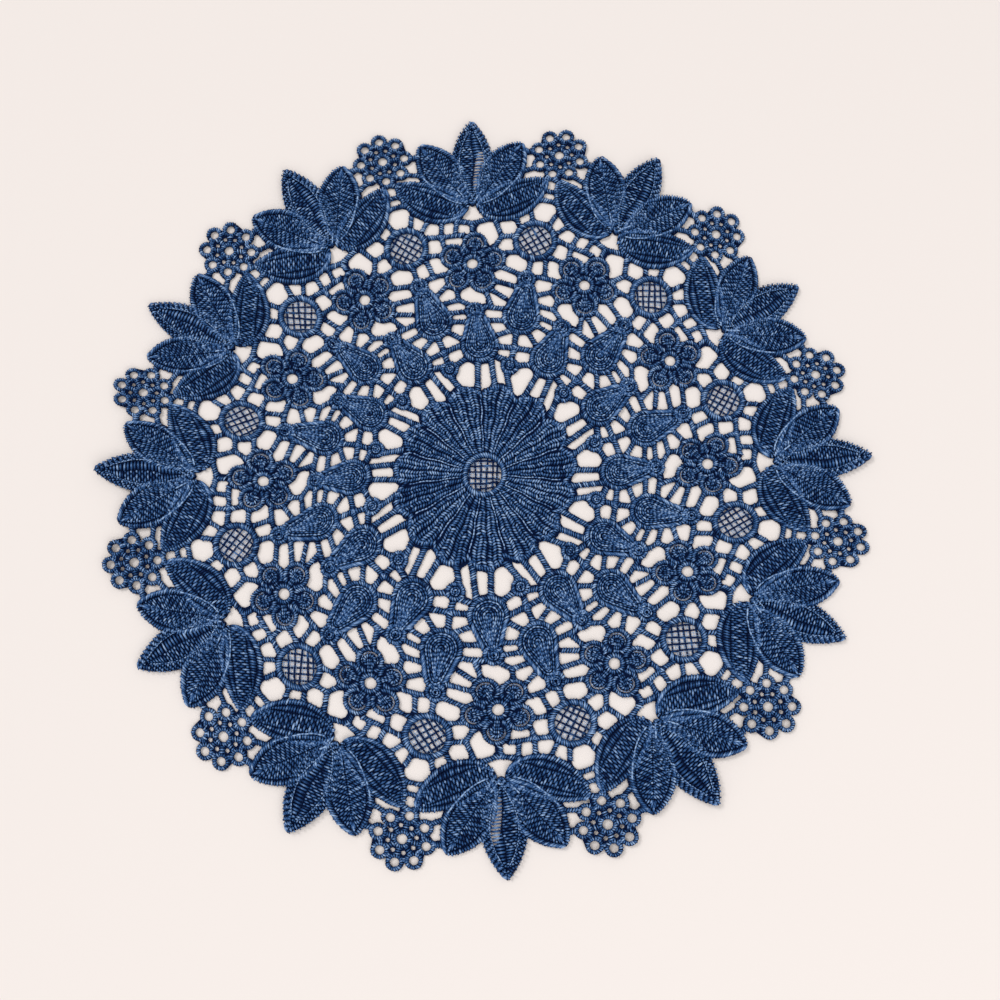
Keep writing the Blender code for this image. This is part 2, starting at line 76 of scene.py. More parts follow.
# The cord round a petal and the groove inside it. Every second stitch of the cord stands
# out by the teeth.
PETAL_CORD = 2.0
CENTRE_CORD = 2.9
CORD_GROOVE = 0.3
CORD_OVER = 0.2
CORD_TEETH = 0.25
# Shares of a petal's length: its cord, its fill, and the middle petal's line and panel
CORD_SHARES = (0.01, 0.985)
FILL_SHARES = (0.03, 0.97)
LINE_SHARES = (0.06, 0.86)
PANEL_SHARES = (0.04, 0.88)
# Strips of stitches across a petal between two offsets from its axis: toward the mat's
# middle for a lower petal, to the right for a side petal
STRIP_COLUMNS = ("start", "end", "slant", "length", "tone")
LOWER_STRIPS = rows(STRIP_COLUMNS, (
    (8.8, 5.6, 0.9, 3.4, -0.35),
    (5.6, -0.6, 1.1, 2.8, -0.1),
    (-0.6, -5.0, 0.7, 3.4, -0.2),
))
SIDE_STRIPS = rows(STRIP_COLUMNS, (
    (-7.0, 0.0, -3.4, 2.3, -0.1),
    (0.0, 7.0, 3.4, 2.3, -0.1),
))
# Raised lines between the petals, point by point; their light tone is a painted highlight on the raised
# thread
RAISED_LINES = (
    ((-19.5, 124.5), (-16.0, 120.3), (-12.0, 116.4), (-8.0, 113.7), (-4.0, 112.5)),
    ((19.5, 124.5), (16.0, 120.3), (12.0, 116.4), (8.0, 113.7), (4.0, 112.5)),
    ((0.5, 113.0), (4.0, 118.0)),
    ((-6.0, 119.0), (-3.0, 115.0)),
)
# A column of threads along the middle petal's right cord, open in two lotuses between
# two shares of the petal's length
LADDER_WIDTH = 4.0
LADDER_GROOVE = 0.2
LADDER_FIRST = 0.19
LADDER_LAST = 0.66
LADDER_STEPS = 10
LADDER_ROUNDING = 0.03
LADDER_LOTUSES = (0, 6)

# Round motifs, and drops that taper from one circle to another
DISCS = rows(("name", "half", "x", "y", "radius"), (
    ("net_disc", 1, -1.2, 98.7, 8.9),
    ("inner_ball", 0, -0.3, 66.8, 3.8),
    ("outer_ball", 1, -0.8, 81.8, 3.7),
    ("button", 1, 0.4, 44.8, 3.5),
))
DROPS = rows(("name", "half", "base_x", "base_y", "base_radius", "neck_x", "neck_y", "neck_radius"), (
    ("inner_drop", 0, 0.9, 52.7, 7.4, 0.2, 63.3, 3.8),
    ("outer_drop", 1, 0.6, 65.8, 7.4, 0.0, 77.0, 4.0),
))

# Rings of like discs: a flower's petals round its open heart, and the ring cluster
WREATHS = rows(("name", "half", "x", "y", "reach", "radius", "turn", "count", "heart"), (
    ("flower", 0, -0.7, 87.1, 8.4, 5.1, 8.0, 5, 0.0),
    ("ring_cluster", 1, 0.0, 137.5, 8.7, 3.2, 6.0, 8, 3.4),
))
FLOWER_HOLE = 2.2
FLOWER_COLLAR = 4.0
# A flower's petal is an outer loop, a row and an inner loop, each swept to both sides of
# its outward direction, and a core of rows from its root
FLOWER_LOOP = 3.6
LOOP_SWEEP = 158.0
ROW_RADIUS = 3.05
ROW_SWEEP = 115.0
INNER_LOOP = (2.65, 1.3)
INNER_SWEEP = 150.0
CORE_ROOT = -4.4
CORE_TIP = 0.8
CORE_ROWS = (-0.7, 0.0, 0.7)
# Thin crescents where the table shows through beside each petal's row
CRESCENT_SWEEPS = (95.0, 80.0, 60.0, 70.0, 100.0)
CRESCENT_INNER = 2.75
CRESCENT_OUTER = 3.4
CRESCENT_STEPS = 8
RING_HOLE = 1.7
HEART_HOLE = 1.9
CLUSTER_GAP_REACH = 5.0
CLUSTER_GAP_RADIUS = 0.85
# Short bars of the cluster: laps onto the rings that they tie, and half-widths
HEART_LAP = 0.3
RING_LAP = 0.4
TIE_HALF = 0.9
BRIDGE_ENDS = (0.6, 2.0)
BRIDGE_HALF = 0.8
BALL_CORD = 1.4
BALL_ROWS = (1.9, 2.6)
# How far in from a drop's outline its cord reaches and its rows of stitches run, and how
# far from its axis its middle rows are
DROP_CORD = 1.6
DROP_ROWS = (2.15, 3.0, 3.85, 4.7, 5.55, 6.4)
DROP_MIDDLE_ROWS = (-0.35, 0.35)
DROP_LEAST = 0.3
# Nets: dark threads at the pitch, and finer, lighter ones at half of it, a little lower. The finer ones'
# near-white tone is partly the net's own light strands and partly painted light that brightens the
# squares where the net and its cord shade the table.
NET_RADIUS = 6.5
NET_HEIGHT = 0.5
NET_LAYER = 0.25
NET_LAP = 0.5
NET_UNEVEN = 0.1
NET_LEAN = 3.0
NET_THREADS = rows(("spacing", "width", "tone", "drop"), (
    (1.0, 0.38, -1.5, 0.0),
    (0.5, 0.08, 2.6, 0.1),
))
NET_PITCH = 2.3
NET_DIRECTIONS = (48.0, -44.0)
EYE_NET_X = -0.5
EYE_NET_Y = 0.2
EYE_NET_PITCH = 2.2
EYE_NET_DIRECTIONS = (3.0, 92.0)
EYE_RADIUS = 6.6
EYE_CORD = 9.0
EYE_CORNERS = 28
# Ribs of each half wedge of the rosette: how many, from one radius to another, and the
# height of all but the second one
RIBS = rows(("count", "first", "last", "high"), (
    (1, 9.0, 14.0, 1.9),
    (2, 14.0, 23.0, 1.9),
    (3, 23.0, 36.0, 1.7),
))
RIB_SECOND_HIGH = 1.9
RIB_SLANT = 1.0
RIB_TONES = (0.2, -0.05, 0.1, -0.15, 0.25, 0.0, 0.15)
RIB_SECOND_TONE = 0.1
# Shares of a half wedge left open beside its scallop's middle and beside the notch
RIB_SEAM = 0.04
RIB_NOTCH = 0.16
RIB_STEPS = 24
# Waves of the ribs: size in degrees, radians a millimetre outward, turns round the rosette
RIB_WAVE = 0.6
WAVE_ALONG = 0.55
WAVE_ROUND = 7.0
RIDGE_END = 30.0
# Stitches over the rosette's edge, from outside it to inside, with a lean in degrees. The
# ribs stop a little inside it.
EDGE_STITCHES = 230
EDGE_OUT = 0.2
EDGE_IN = 2.3
EDGE_LEAN = 1.2
EDGE_RIBS = 1.1

# Stitched bars that tie the motifs: two ends and a width
BARS = rows(("half", "x0", "y0", "x1", "y1", "width"), (
    (0, -7.0, 106.0, 0.0, 104.6, 1.9), (0, 0.0, 104.6, 6.5, 106.2, 1.9),
    (0, -12.6, 105.0, -12.8, 99.1, 1.7), (0, -6.6, 105.0, -7.2, 99.8, 1.7),
    (0, -0.5, 104.5, -0.6, 101.0, 1.6), (0, -19.0, 99.3, -12.8, 99.1, 1.8),
    (0, -12.8, 99.1, -3.5, 99.8, 1.7), (0, -12.8, 99.1, -11.7, 95.0, 1.7),
    (0, -18.8, 91.3, -12.8, 91.6, 1.6), (0, 8.8, 105.4, 11.3, 98.2, 1.8),
    (0, 11.3, 98.2, 16.3, 98.3, 1.7), (0, 11.3, 98.2, 8.0, 93.6, 1.8),
    (0, 17.2, 105.8, 18.2, 102.8, 1.8), (0, 11.8, 91.2, 17.0, 91.0, 1.5),
    (0, -19.0, 89.3, -16.2, 83.0, 1.7), (0, -19.0, 81.6, -11.2, 83.6, 1.7),
    (0, 10.3, 85.4, 18.0, 81.4, 1.8), (0, 7.6, 79.5, 17.0, 76.0, 1.8),
    (0, 6.6, 75.5, 12.2, 71.3, 1.7), (0, 4.4, 74.6, 6.5, 68.2, 1.7),
    (0, 3.0, 68.6, 10.8, 67.2, 1.8), (0, -11.0, 78.4, -15.6, 74.2, 1.7),
    (0, -7.2, 77.2, -6.5, 72.2, 1.7), (0, -12.6, 71.0, -6.5, 72.2, 1.7),
    (0, -6.5, 72.2, -2.0, 69.6, 1.7), (0, -10.6, 66.8, -3.6, 67.1, 1.7),
    (0, -10.4, 63.2, -3.4, 62.7, 1.7), (0, 3.8, 62.9, 11.0, 62.2, 1.8),
    (0, -11.2, 58.9, -6.2, 55.8, 1.8), (0, 7.6, 56.2, 13.6, 58.0, 1.8),
    (0, 15.3, 58.3, 14.1, 50.6, 2.1), (0, 14.1, 50.6, 7.6, 51.6, 2.1),
    (0, 14.1, 50.6, 20.6, 49.2, 2.1), (0, 14.1, 50.6, 12.9, 46.8, 2.2),
    (0, 7.0, 47.6, 10.4, 46.0, 1.9), (0, 14.5, 43.4, 20.5, 43.4, 2.1),
    (0, -0.3, 46.4, -0.9, 32.0, 2.1), (0, 4.9, 46.6, 6.0, 32.0, 2.1),
    (0, 10.4, 41.0, 11.6, 32.0, 2.1), (1, -3.6, 120.9, 3.2, 121.0, 1.6),
    (1, -4.6, 116.8, 3.8, 116.7, 1.7), (1, -4.0, 106.8, -5.4, 110.6, 1.7),
    (1, 3.0, 107.0, 4.4, 111.2, 1.7), (1, 6.6, 103.6, 9.6, 106.8, 1.5),
    (1, -1.0, 90.4, -0.9, 84.8, 1.9), (1, -14.8, 137.0, -10.4, 137.0, 1.9),
    (1, 10.8, 135.7, 14.8, 135.7, 1.8), (1, -14.4, 126.6, -8.2, 130.4, 1.8),
    (1, 14.4, 126.8, 7.0, 129.4, 1.6), (1, -1.0, 127.0, -3.6, 125.2, 1.8),
    (1, -1.0, 127.0, 2.8, 125.4, 1.8),
))

# The rosette in the middle: its wavy edge is not in step with the repeats
ROSETTE_MEAN = 34.4
ROSETTE_SWING = 2.2
ROSETTE_SCALLOPS = 15
ROSETTE_TURN = 12.35
ROSETTE_ROUNDING = 0.8

# A point inside each gap of a repeat
GAPS = rows(("half", "x", "y"), (
    (0, 0.0, 107.6), (0, 8.2, 101.0), (1, -12.6, 102.2), (1, -12.0, 95.4),
    (1, 10.9, 102.8), (1, 9.8, 95.8), (0, -8.2, 97.4), (1, -5.8, 87.8),
    (1, 2.3, 87.6), (0, -14.0, 87.2), (0, 12.2, 80.4), (0, -15.2, 79.0),
    (0, 11.0, 75.3), (0, 8.2, 71.0), (0, -10.4, 74.2), (0, -1.2, 73.2),
    (0, 6.8, 65.2), (0, 9.0, 59.4), (0, -10.8, 55.0), (0, 11.4, 54.2),
    (0, 17.0, 46.8), (0, -4.8, 40.0), (0, 2.2, 40.0), (0, 8.4, 41.2),
    (0, -9.6, 102.8), (0, -3.5, 101.9), (0, 20.3, 105.5), (0, -7.2, 69.4),
    (0, -6.6, 65.0), (0, -7.8, 60.0), (0, 10.6, 48.8), (1, -0.8, 112.0),
    (1, 10.7, 131.5), (1, -11.8, 132.0), (1, -7.5, 127.2), (1, 8.0, 126.7),
    (1, -0.4, 123.8), (1, -0.6, 118.6), (1, -7.2, 107.2), (1, 5.9, 107.6),
))
GAP_RAYS = 48
GAP_CORNERS = 20
GAP_REACH = 16.0
RIM_RAYS = 240
RIM_CORNERS = 90
RIM_SEARCH = 160.0
RIM_REACH = 50.0
WALK_STEPS = 60
WALK_MARGIN = 0.02
WALK_SHARE = 0.9
ROSETTE_STEP = 0.25
MERGE_DISTANCE = 1e-5
INSIDE_TRIANGLES = 1

# How unevenly the mat lies: a row per lotus, clockwise from the far side. Slip is
# clockwise, pull is outward, each at the middle circle and at the rim circle. Lift is
# how far the rim stands off the table there.
UNEVEN = rows(("slip_mid", "pull_mid", "slip_rim", "pull_rim", "lift"), (
    (-1.0, 0.9, -0.2, 2.4, 0.0),
    (-0.5, 0.8, 0.1, 2.5, 0.6),
    (0.5, -0.2, 0.8, -1.6, 0.0),
    (0.2, -1.1, -1.6, -0.4, 0.6),
    (-0.6, -1.8, -6.1, -1.9, 0.0),
    (-0.7, -0.3, -5.3, -1.7, 1.3),
    (-0.6, 2.3, -2.6, -1.6, 0.0),
    (1.0, 2.8, 0.4, -0.7, 0.5),
    (1.1, 1.4, 5.3, -2.3, 0.0),
    (0.5, -2.6, 6.8, -0.6, 1.4),
    (0.3, -2.7, -0.6, 1.1, 0.0),
    (-1.3, -1.0, -1.1, 3.2, 0.8),
))
MIDDLE_CIRCLE = 75.0
RIM_CIRCLE = 140.0
LIFT_START = 108.0
LIFT_FULL = 150.0

# The ground under the stitches; its near-black colour is painted shade
GROUND_UNDER = 0.15
GROUND_TOP = 0.6
CORNER_ROUNDING = 4
ROUNDING_LIMIT = 0.85

# A stitch is a spindle: shares of its length, and its girth, arch and shade at each. The shade is
# painted: painted shade toward the ends, where the thread dives down, and a painted highlight at the
# middle.
STATIONS = rows(("along", "girth", "arch", "shade"), (
    (0.10, 0.85, 0.55, -0.75),
    (0.50, 1.00, 1.00, 0.35),
    (0.90, 0.85, 0.55, -0.75),
))
# Painted shade at a stitch's two tips, where it dives down to the ground
TIP_PAINTED_SHADE = -1.3
SIDES = 4
STITCH_THICKNESS = 0.8
SHORTEST_STITCH = 0.6
# How uneven the stitches are, and the least height of any corner
JITTER = 0.07
WIDTH_SPREAD = 0.15
TONE_SPREAD = 0.45
LOWEST = 0.03

# Colours of thread and ground, and the mottle of the thread in units of tone
THREAD_DARK = (0.0, 0.007, 0.05, 1.0)
THREAD_MIDDLE = (0.036, 0.12, 0.32, 1.0)
THREAD_LIGHT = (0.36, 0.52, 0.78, 1.0)
THREAD_SHEEN = (0.55, 0.72, 1.0, 1.0)
THREAD_GLOSS = (0.45, 0.65, 1.0, 1.0)
TONE_RANGE = 1.2
MOTTLE = 3.6
# The ground's colours are painted shade: near-black navy between the stitches, varied by a noise
GROUND_PAINTED_SHADE_DARK = (0.0, 0.003, 0.022, 1.0)
GROUND_PAINTED_SHADE_LIGHT = (0.002, 0.013, 0.065, 1.0)

# The stage, in metres and watts
FLOOR_SIZE = 6.0
FLOOR_COLOUR = (0.86, 0.79, 0.752, 1.0)
WORLD_COLOUR = (1.0, 1.0, 1.0, 1.0)
WORLD_STRENGTH = 0.58
LAMPS = rows(("name", "energy", "size", "x", "y", "z"), (
    ("key", 160.0, 2.0, -3.4, 2.2, 5.2),
    ("fill", 13.0, 1.5, 0.7, -1.2, 1.3),
))
CAMERA_SENSOR = 36.0
CAMERA_LENS = 37.584
CAMERA_PLACE = (0.00619, -0.10417, 0.389)
CAMERA_TILT = 13.3


def turned(x, y, degrees):
    """Points turned clockwise about the mat's middle."""
    angle = np.radians(degrees)
    return x * np.cos(angle) + y * np.sin(angle), y * np.cos(angle) - x * np.sin(angle)


def on_ring(x, y, reach, degrees):
    """Points at a reach from a middle, in directions clockwise from outward."""
    angle = np.radians(degrees)
    return x + reach * np.sin(angle), y + reach * np.cos(angle)


def wreath_places(wreath):
    """The middle of each disc of a wreath, with its direction from the wreath's middle."""
    turns = wreath["turn"] + 360.0 / wreath["count"] * np.arange(wreath["count"])
    return [(*on_ring(wreath["x"], wreath["y"], wreath["reach"], turn), turn) for turn in turns]


def uneven_value(name, azimuth):
    """A column of the unevenness table, read smoothly round the mat."""
    place = np.mod(azimuth / REPEAT_TURN, REPEATS)
    first = np.floor(place).astype(int)
    share = place - first
    column = np.array([row[name] for row in UNEVEN])
    a, b, c, d = (column[(first + step) % REPEATS] for step in (-1, 0, 1, 2))
    return 0.5 * (2.0 * b + (c - a) * share + (2.0 * a - 5.0 * b + 4.0 * c - d) * share ** 2
                  + (3.0 * b - a - 3.0 * c + d) * share ** 3)


def laid(x, y, repeat):
    """Plan points of a repeat as they lie on the table, with their slips and pulls."""
    radius = np.hypot(x, y)
    azimuth = np.degrees(np.arctan2(x, y)) + repeat * REPEAT_TURN
    outer = np.clip((radius - MIDDLE_CIRCLE) / (RIM_CIRCLE - MIDDLE_CIRCLE), 0.0, 1.2)
    inner = np.minimum(radius / MIDDLE_CIRCLE, 1.0) * (1.0 - outer)
    slip = inner * uneven_value("slip_mid", azimuth) + outer * uneven_value("slip_rim", azimuth)
    pull = inner * uneven_value("pull_mid", azimuth) + outer * uneven_value("pull_rim", azimuth)
    return turned(slip, radius + pull, azimuth + FIRST_LOTUS)


def to_frame(x, y, z):
    """Laid points in the shared frame, in metres, lifted where the rim stands up."""
    azimuth = np.degrees(np.arctan2(x, y)) - FIRST_LOTUS
    share = np.clip((np.hypot(x, y) - LIFT_START) / (LIFT_FULL - LIFT_START), 0.0, 1.0)
    lift = np.maximum(uneven_value("lift", azimuth), 0.0) * share * share * (3.0 - 2.0 * share)
    return np.stack([x - BOX_MIDDLE_X, y - BOX_MIDDLE_Y, z + lift], axis=-1) * MM


def half_width(petal, along, side):
    """A petal's half-width on one side at shares of its length."""
    fullness = np.maximum(np.sin(np.pi * along ** petal["skew"]), 0.0) ** petal["power"]
    return fullness * (petal["right"] if side > 0.0 else petal["left"])


def petal_place(petal, along, offset):
    """Points of a petal at shares of its length and offsets to the right of its axis."""
    span_x = petal["tip_x"] - petal["base_x"]
    span_y = petal["tip_y"] - petal["base_y"]
    length = math.hypot(span_x, span_y)
    return np.stack([
        petal["base_x"] + span_x * along + span_y * offset / length,
        petal["base_y"] + span_y * along - span_x * offset / length,
    ], axis=-1)


def petal_outline(petal):
    """The closed outline of a petal, up its right side and down its left."""
    shares = np.linspace(0.0, 1.0, PETAL_STEPS // 2 + 1)
    right = petal_place(petal, shares, half_width(petal, shares, 1.0))
    left = petal_place(petal, shares, -half_width(petal, shares, -1.0))
    return np.concatenate([right, left[-2:0:-1]])


def thread_shapes():
    """Every shape near one repeat, as tapered strokes: two ends and two radii."""
    strokes = []

    def add(half, x0, y0, r0, x1, y1, r1):
        for neighbour in (-1, 0, 1):
            turn = neighbour * REPEAT_TURN + half * HALF_TURN
            strokes.append((*turned(x0, y0, turn), r0, *turned(x1, y1, turn), r1))

    def add_disc(half, x, y, radius):
        add(half, x, y, radius, x, y, radius)

    for disc in DISCS:
        add_disc(disc["half"], disc["x"], disc["y"], disc["radius"])
    for drop in DROPS:
        add(drop["half"], drop["base_x"], drop["base_y"], drop["base_radius"],
            drop["neck_x"], drop["neck_y"], drop["neck_radius"])
    for wreath in WREATHS:
        for x, y, _ in wreath_places(wreath):
            add_disc(wreath["half"], x, y, wreath["radius"])
        if wreath["heart"] > 0.0:
            add_disc(wreath["half"], wreath["x"], wreath["y"], wreath["heart"])
    for bar in BARS:
        radius = bar["width"] / 2.0
        add(bar["half"], bar["x0"], bar["y0"], radius, bar["x1"], bar["y1"], radius)
    for petal in PETALS:
        outline = petal_outline(petal)
        for start, end in zip(outline, np.roll(outline, -1, axis=0)):
            add(0, *start, 0.0, *end, 0.0)
    return np.array(strokes)


def clearance(points, strokes):
    """The distance from each point to the nearest thread shape."""
    start = strokes[:, 0:2]
    span = strokes[:, 3:5] - start
    square = np.maximum((span ** 2).sum(axis=1), 1e-9)
    reach = points[:, None, :] - start[None, :, :]
    share = np.clip((reach * span[None, :, :]).sum(axis=2) / square, 0.0, 1.0)
    offset = reach - share[:, :, None] * span[None, :, :]
    radius = strokes[:, 2] + share * (strokes[:, 5] - strokes[:, 2])
    return (np.hypot(offset[:, :, 0], offset[:, :, 1]) - radius).min(axis=1)


def walk(starts, directions, strokes, limit):
    """How far each ray goes from its start before it meets thread."""
    travelled = np.zeros(len(starts))
    for _ in range(WALK_STEPS):
        free = np.maximum(clearance(starts + directions * travelled[:, None], strokes) - WALK_MARGIN, 0.0)
        travelled = np.minimum(travelled + free * WALK_SHARE, limit)
    return travelled


def rosette_radius(azimuth):
    """The rosette's edge radius at azimuths clockwise from the first lotus."""
    phase = np.radians((azimuth - ROSETTE_TURN) * ROSETTE_SCALLOPS / 2.0)
    wave = np.abs(np.cos(phase)) ** ROSETTE_ROUNDING
    return ROSETTE_MEAN + ROSETTE_SWING * (2.0 * wave - 1.0)


def stop_at_rosette(seed, directions, free, repeat):
    """How far each ray goes from its start before it meets the rosette's wavy edge."""
    travelled = np.zeros(len(directions))
    for step in np.arange(0.0, GAP_REACH, ROSETTE_STEP):
        points = seed + directions * step
        azimuth = np.degrees(np.arctan2(points[:, 0], points[:, 1])) + repeat * REPEAT_TURN
        outside = np.hypot(points[:, 0], points[:, 1]) > rosette_radius(azimuth)
        travelled = np.where(outside & (travelled >= step - ROSETTE_STEP), step, travelled)
    return np.minimum(travelled, free)


def rounded_reach(reach):
    """Rays' reaches with the corners drawn in, as thread gathers where bars meet."""
    around = range(-CORNER_ROUNDING, CORNER_ROUNDING + 1)
    mean = sum(np.roll(reach, step) for step in around) / len(around)
    return np.clip(mean, ROUNDING_LIMIT * reach, reach)


def corner_areas(points):
    """The area that each corner adds to a closed outline."""
    before = np.roll(points, 1, axis=0)
    after = np.roll(points, -1, axis=0)
    return np.abs((points[:, 0] - before[:, 0]) * (after[:, 1] - before[:, 1])
                  - (after[:, 0] - before[:, 0]) * (points[:, 1] - before[:, 1])) / 2.0


def fewer_corners(points, count, closed=True):
    """An outline with the least telling corners taken out until a count is left."""
    while len(points) > count:
        areas = corner_areas(points)
        if not closed:
            areas[[0, -1]] = np.inf
        points = np.delete(points, areas.argmin(), axis=0)
    return points


def laid_loop(points, repeat):
    """A loop of one repeat as it lies on the table."""
    return np.stack(laid(points[:, 0], points[:, 1], repeat), axis=1)


def ground_loops():
    """The ground's rim and all its gaps and holes, as they lie on the table."""
    strokes = thread_shapes()
    turns = (np.arange(RIM_RAYS) / RIM_RAYS - 0.5) * REPEAT_TURN
    outward = np.stack(on_ring(0.0, 0.0, 1.0, turns), axis=1)
    reach = walk(outward * RIM_SEARCH, -outward, strokes, RIM_REACH)
    edge = fewer_corners(outward * (RIM_SEARCH - reach)[:, None], RIM_CORNERS, closed=False)
    loops = [np.concatenate([laid_loop(edge, repeat) for repeat in range(REPEATS)])]

    directions = np.stack(on_ring(0.0, 0.0, 1.0, np.arange(GAP_RAYS) * 360.0 / GAP_RAYS), axis=1)
    for gap in GAPS:
        seed = np.array(turned(gap["x"], gap["y"], gap["half"] * HALF_TURN))
        free = walk(np.repeat(seed[None, :], GAP_RAYS, axis=0), directions, strokes, GAP_REACH)
        for repeat in range(REPEATS):
            reach = rounded_reach(stop_at_rosette(seed, directions, free, repeat))
            outline = fewer_corners(seed + directions * reach[:, None], GAP_CORNERS)
            loops.append(laid_loop(outline, repeat))
    for half, x, y, radius, corners in round_holes():
        ring = np.stack(on_ring(x, y, radius, np.arange(corners) * 360.0 / corners), axis=1)
        ring = np.stack(turned(ring[:, 0], ring[:, 1], half * HALF_TURN), axis=1)
        loops += [laid_loop(ring, repeat) for repeat in range(REPEATS)]
    for crescent in crescents():
        loops += [laid_loop(crescent, repeat) for repeat in range(REPEATS)]
    loops += [laid_loop(ladder(), repeat) for repeat in LADDER_LOTUSES]
    eye = np.stack(on_ring(0.0, 0.0, EYE_RADIUS, np.arange(EYE_CORNERS) * 360.0 / EYE_CORNERS), axis=1)
    loops.append(laid_loop(eye, 0))
    return loops


def crescents():
    """The slits round the petals of a flower."""
    flower = WREATHS[0]
    found = []
    for (x, y, turn), sweep in zip(wreath_places(flower), CRESCENT_SWEEPS):
        outer = arc(x, y, CRESCENT_OUTER, turn - sweep, turn + sweep, CRESCENT_STEPS)
        inner = arc(x, y, CRESCENT_INNER, turn + sweep, turn - sweep, CRESCENT_STEPS)
        found.append(np.concatenate([outer, inner]))
    return found


def ladder():
    """The opening under the ladder, beside the middle petal's right cord."""
    centre = lotus_petals()["centre"]
    shares = np.linspace(LADDER_FIRST, LADDER_LAST, LADDER_STEPS)
    cord = half_width(centre, shares, 1.0) - CENTRE_CORD - LADDER_GROOVE
    ends = np.linspace(LADDER_ROUNDING, 1.0 - LADDER_ROUNDING, LADDER_STEPS)
    far = np.maximum(cord - LADDER_WIDTH * np.sqrt(np.sin(np.pi * ends)), 0.0)
    return np.concatenate([petal_place(centre, shares, cord), petal_place(centre, shares, far)[::-1]])


def round_holes():
    """Round holes of one repeat: half, middle, radius and corners."""
    flower, cluster = WREATHS
    net = DISCS[0]
    holes = [
        (flower["half"], flower["x"], flower["y"], FLOWER_HOLE, 12),
        (cluster["half"], cluster["x"], cluster["y"], HEART_HOLE, 12),
        (net["half"], net["x"], net["y"], NET_RADIUS, 24),
    ]
    for x, y, turn in wreath_places(cluster):
        holes.append((cluster["half"], x, y, RING_HOLE, 10))
        between = turn + 180.0 / cluster["count"]
        x, y = on_ring(cluster["x"], cluster["y"], CLUSTER_GAP_REACH, between)
        holes.append((cluster["half"], x, y, CLUSTER_GAP_RADIUS, 6))
    return holes


def inside(points, loop):
    """Whether each point is within a closed loop."""
    x0, y0 = loop[:, 0], loop[:, 1]
    x1, y1 = np.roll(x0, -1), np.roll(y0, -1)
    x, y = points[:, 0:1], points[:, 1:2]
    crosses = (y0 > y) != (y1 > y)
    rise = np.where(np.abs(y1 - y0) > 1e-12, y1 - y0, 1.0)
    meets = x < x0 + (y - y0) / rise * (x1 - x0)
    return (crosses & meets).sum(axis=1) % 2 == 1


def scene_object(name, data):
    """A new object of the scene."""
    made = bpy.data.objects.new(name, data)
    bpy.context.scene.collection.objects.link(made)
    return made


def filled_plan(loops):
    """Plan points and triangles that fill the outer loop around the inner ones."""
    edges = []
    first = 0
    for loop in loops:
        count = len(loop)
        edges += [(first + i, first + (i + 1) % count) for i in range(count)]
        first += count
    filled = delaunay_2d_cdt(np.concatenate(loops).tolist(), edges, [], INSIDE_TRIANGLES, MERGE_DISTANCE)
    places = np.array([tuple(place) for place in filled[0]])
    faces = np.array([tuple(face) for face in filled[2]])
    middles = places[faces].mean(axis=1)
    in_gap = np.zeros(len(faces), bool)
    for loop in loops[1:]:
        boxed = ((middles > loop.min(axis=0)) & (middles < loop.max(axis=0))).all(axis=1)
        near = np.flatnonzero(boxed & ~in_gap)
        in_gap[near] = inside(middles[near], loop)
    used, faces = np.unique(faces[~in_gap], return_inverse=True)
    return places[used], faces.reshape(-1, 3)


def ground_piece():
    """The thin closed sheet that all stitches are worked on."""
    places, faces = filled_plan(ground_loops())
    total = len(places)
    top = to_frame(places[:, 0], places[:, 1], np.full(total, GROUND_TOP))
    under = to_frame(places[:, 0], places[:, 1], np.full(total, GROUND_UNDER))
    sides = np.concatenate([faces[:, [0, 1]], faces[:, [1, 2]], faces[:, [2, 0]]])
    known = set(map(tuple, sides.tolist()))
    walls = [(b, a, total + a, total + b) for a, b in known if (b, a) not in known]
    data = bpy.data.meshes.new("lace_ground")
    polygons = faces.tolist() + (faces[:, ::-1] + total).tolist() + walls
    data.from_pydata(np.concatenate([top, under]).tolist(), [], polygons)
    return scene_object("lace_ground", data)


def along_line(line, share):
    """Points of a line at shares of its number of steps."""
    index = np.arange(len(line))
    place = share * (len(line) - 1)
    return np.stack([np.interp(place, index, line[:, 0]), np.interp(place, index, line[:, 1])], axis=1)


def lengths_along(line):
    """How far along a line each of its points is."""
    return np.concatenate([[0.0], np.cumsum(np.hypot(*np.diff(line, axis=0).T))])


def even_shares(line, count):
    """Shares of a line's steps that lie evenly spaced along its length."""
    length = lengths_along(line)
    wanted = (np.arange(count) + 0.5) / count * length[-1]
    return np.interp(wanted, length, np.arange(len(line))) / (len(line) - 1)


def line_length(line):
    """The length of a line."""
    return float(np.hypot(*np.diff(line, axis=0).T).sum())


def stitch_rows(start, end, low, high, width, tone):
    """Stitches without the ones too short to sew: two ends, height of the ends and of
    the middle, half-width and tone."""
    looks = [np.full(len(start), value) for value in (low, high, width, tone)]
    stitches = np.column_stack([start, end, *looks])
    return stitches[np.hypot(*(end - start).T) > SHORTEST_STITCH]


def satin(outer, inner, pitch=1.0, slant=0.0, low=0.35, high=1.5, width=0.33, tone=0.0, over=0.3,
          teeth=0.0, split=None):
    """Stitches side by side from one line to another, as over a cord. Each leans along the
    lines by slant and stands past them by over, every second one by teeth more past the
    first. With split they are cut to about that length, in brick bond."""
    middle = (outer + inner) / 2.0
    total = max(line_length(middle), pitch)
    shares = even_shares(middle, max(2, round(total / pitch)))
    closed = np.hypot(*(outer[0] - outer[-1])) < 0.01
    lean = slant / total / 2.0
    first, last = shares - lean, shares + lean
    if closed:
        first, last = np.mod(first, 1.0), np.mod(last, 1.0)
    start = along_line(outer, np.clip(first, 0.0, 1.0))
    end = along_line(inner, np.clip(last, 0.0, 1.0))
    reach = end - start
    length = np.maximum(np.hypot(*reach.T), 1e-6)[:, None]
    outward = over + teeth * (np.arange(len(start)) % 2)[:, None]
    start, end = start - reach / length * outward, end + reach / length * over
    if split:
        start, end = brick_bond(start, end, split)
    return stitch_rows(start, end, low, high, width, tone)


